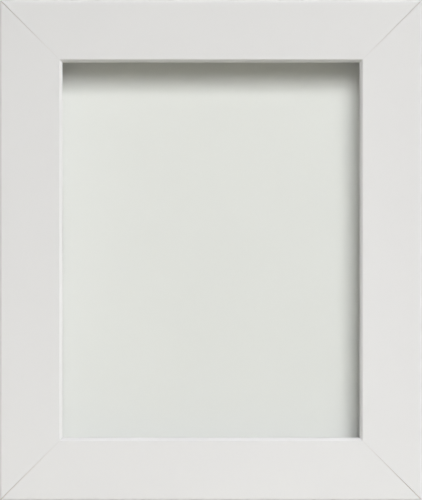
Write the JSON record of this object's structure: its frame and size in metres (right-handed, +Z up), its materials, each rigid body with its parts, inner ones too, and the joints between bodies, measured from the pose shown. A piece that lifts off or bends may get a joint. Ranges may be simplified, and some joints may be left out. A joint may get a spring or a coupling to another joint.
{
  "type": "shadow box",
  "caption": "Deep mitred white frame that shows objects between a glass front and a backing card, closed by a board under turn buttons and hung by D-rings.",
  "frame": {"origin": "middle of the underside of the bottom rail, half way through the moulding's depth", "axes": "+Z up the box, +Y towards the wall behind it, so the glass faces -Y, and +X to the right seen from the front"},
  "size_m": [0.2764, 0.0368, 0.3272],
  "materials": {
    "white_lacquer": "satin white lacquer on wood, bare on the back",
    "clear_glass": "clear float glass with a slight green cast",
    "grey_spacer": "matt grey",
    "white_card": "matt white, fine tooth",
    "fibreboard": "raw hardboard brown",
    "zinc_plate": "bright zinc plate",
    "nickel_plate": "nickel plate",
    "grey_rubber": "matt"
  },
  "bodies": {
    "frame": {"top_rail": "white_lacquer", "bottom_rail": "white_lacquer", "left_stile": "white_lacquer", "right_stile": "white_lacquer", "corner_wedge_top_left_1": "zinc_plate", "corner_wedge_top_left_2": "zinc_plate", "corner_wedge_top_right_1": "zinc_plate", "corner_wedge_top_right_2": "zinc_plate", "corner_wedge_bottom_left_1": "zinc_plate", "corner_wedge_bottom_left_2": "zinc_plate", "corner_wedge_bottom_right_1": "zinc_plate", "corner_wedge_bottom_right_2": "zinc_plate", "glass_pane": "clear_glass", "top_spacer": "grey_spacer", "bottom_spacer": "grey_spacer", "left_spacer": "grey_spacer", "right_spacer": "grey_spacer", "display_card": "white_card", "back_board": "fibreboard", "turn_button_screw_left_upper": "zinc_plate", "turn_button_screw_left_lower": "zinc_plate", "turn_button_screw_right_upper": "zinc_plate", "turn_button_screw_right_lower": "zinc_plate", "turn_button_screw_top": "zinc_plate", "turn_button_screw_bottom": "zinc_plate", "hanger_screw_left": "zinc_plate", "hanger_screw_right": "zinc_plate", "hanger_strap_left": "nickel_plate", "hanger_strap_right": "nickel_plate", "wall_bumper_left": "grey_rubber", "wall_bumper_right": "grey_rubber"},
    "turn_button_left_upper": {"turn_button_left_upper": "zinc_plate"},
    "turn_button_left_lower": {"turn_button_left_lower": "zinc_plate"},
    "turn_button_right_upper": {"turn_button_right_upper": "zinc_plate"},
    "turn_button_right_lower": {"turn_button_right_lower": "zinc_plate"},
    "turn_button_top": {"turn_button_top": "zinc_plate"},
    "turn_button_bottom": {"turn_button_bottom": "zinc_plate"},
    "hanger_ring_left": {"hanger_ring_left": "nickel_plate"},
    "hanger_ring_right": {"hanger_ring_right": "nickel_plate"}
  },
  "joints": [
    {"name": "turn_button_left_upper_swivel", "type": "hinge", "parent": "frame", "child": "turn_button_left_upper", "pos_m": [-0.1116, 0.0169, 0.2186], "axis": [0, 1, 0], "continuous": true},
    {"name": "turn_button_left_lower_swivel", "type": "hinge", "parent": "frame", "child": "turn_button_left_lower", "pos_m": [-0.1116, 0.0169, 0.1086], "axis": [0, 1, 0], "continuous": true},
    {"name": "turn_button_right_upper_swivel", "type": "hinge", "parent": "frame", "child": "turn_button_right_upper", "pos_m": [0.1116, 0.0169, 0.2186], "axis": [0, 1, 0], "continuous": true},
    {"name": "turn_button_right_lower_swivel", "type": "hinge", "parent": "frame", "child": "turn_button_right_lower", "pos_m": [0.1116, 0.0169, 0.1086], "axis": [0, 1, 0], "continuous": true},
    {"name": "turn_button_top_swivel", "type": "hinge", "parent": "frame", "child": "turn_button_top", "pos_m": [0, 0.0169, 0.3006], "axis": [0, 1, 0], "continuous": true},
    {"name": "turn_button_bottom_swivel", "type": "hinge", "parent": "frame", "child": "turn_button_bottom", "pos_m": [0, 0.0169, 0.0266], "axis": [0, 1, 0], "continuous": true},
    {"name": "hanger_ring_left_swing", "type": "hinge", "parent": "frame", "child": "hanger_ring_left", "pos_m": [-0.1196, 0.0182, 0.2572], "axis": [0, 0, 1], "range_deg": [0, 181]},
    {"name": "hanger_ring_right_swing", "type": "hinge", "parent": "frame", "child": "hanger_ring_right", "pos_m": [0.1196, 0.0182, 0.2572], "axis": [0, 0, -1], "range_deg": [0, 181]}
  ]
}
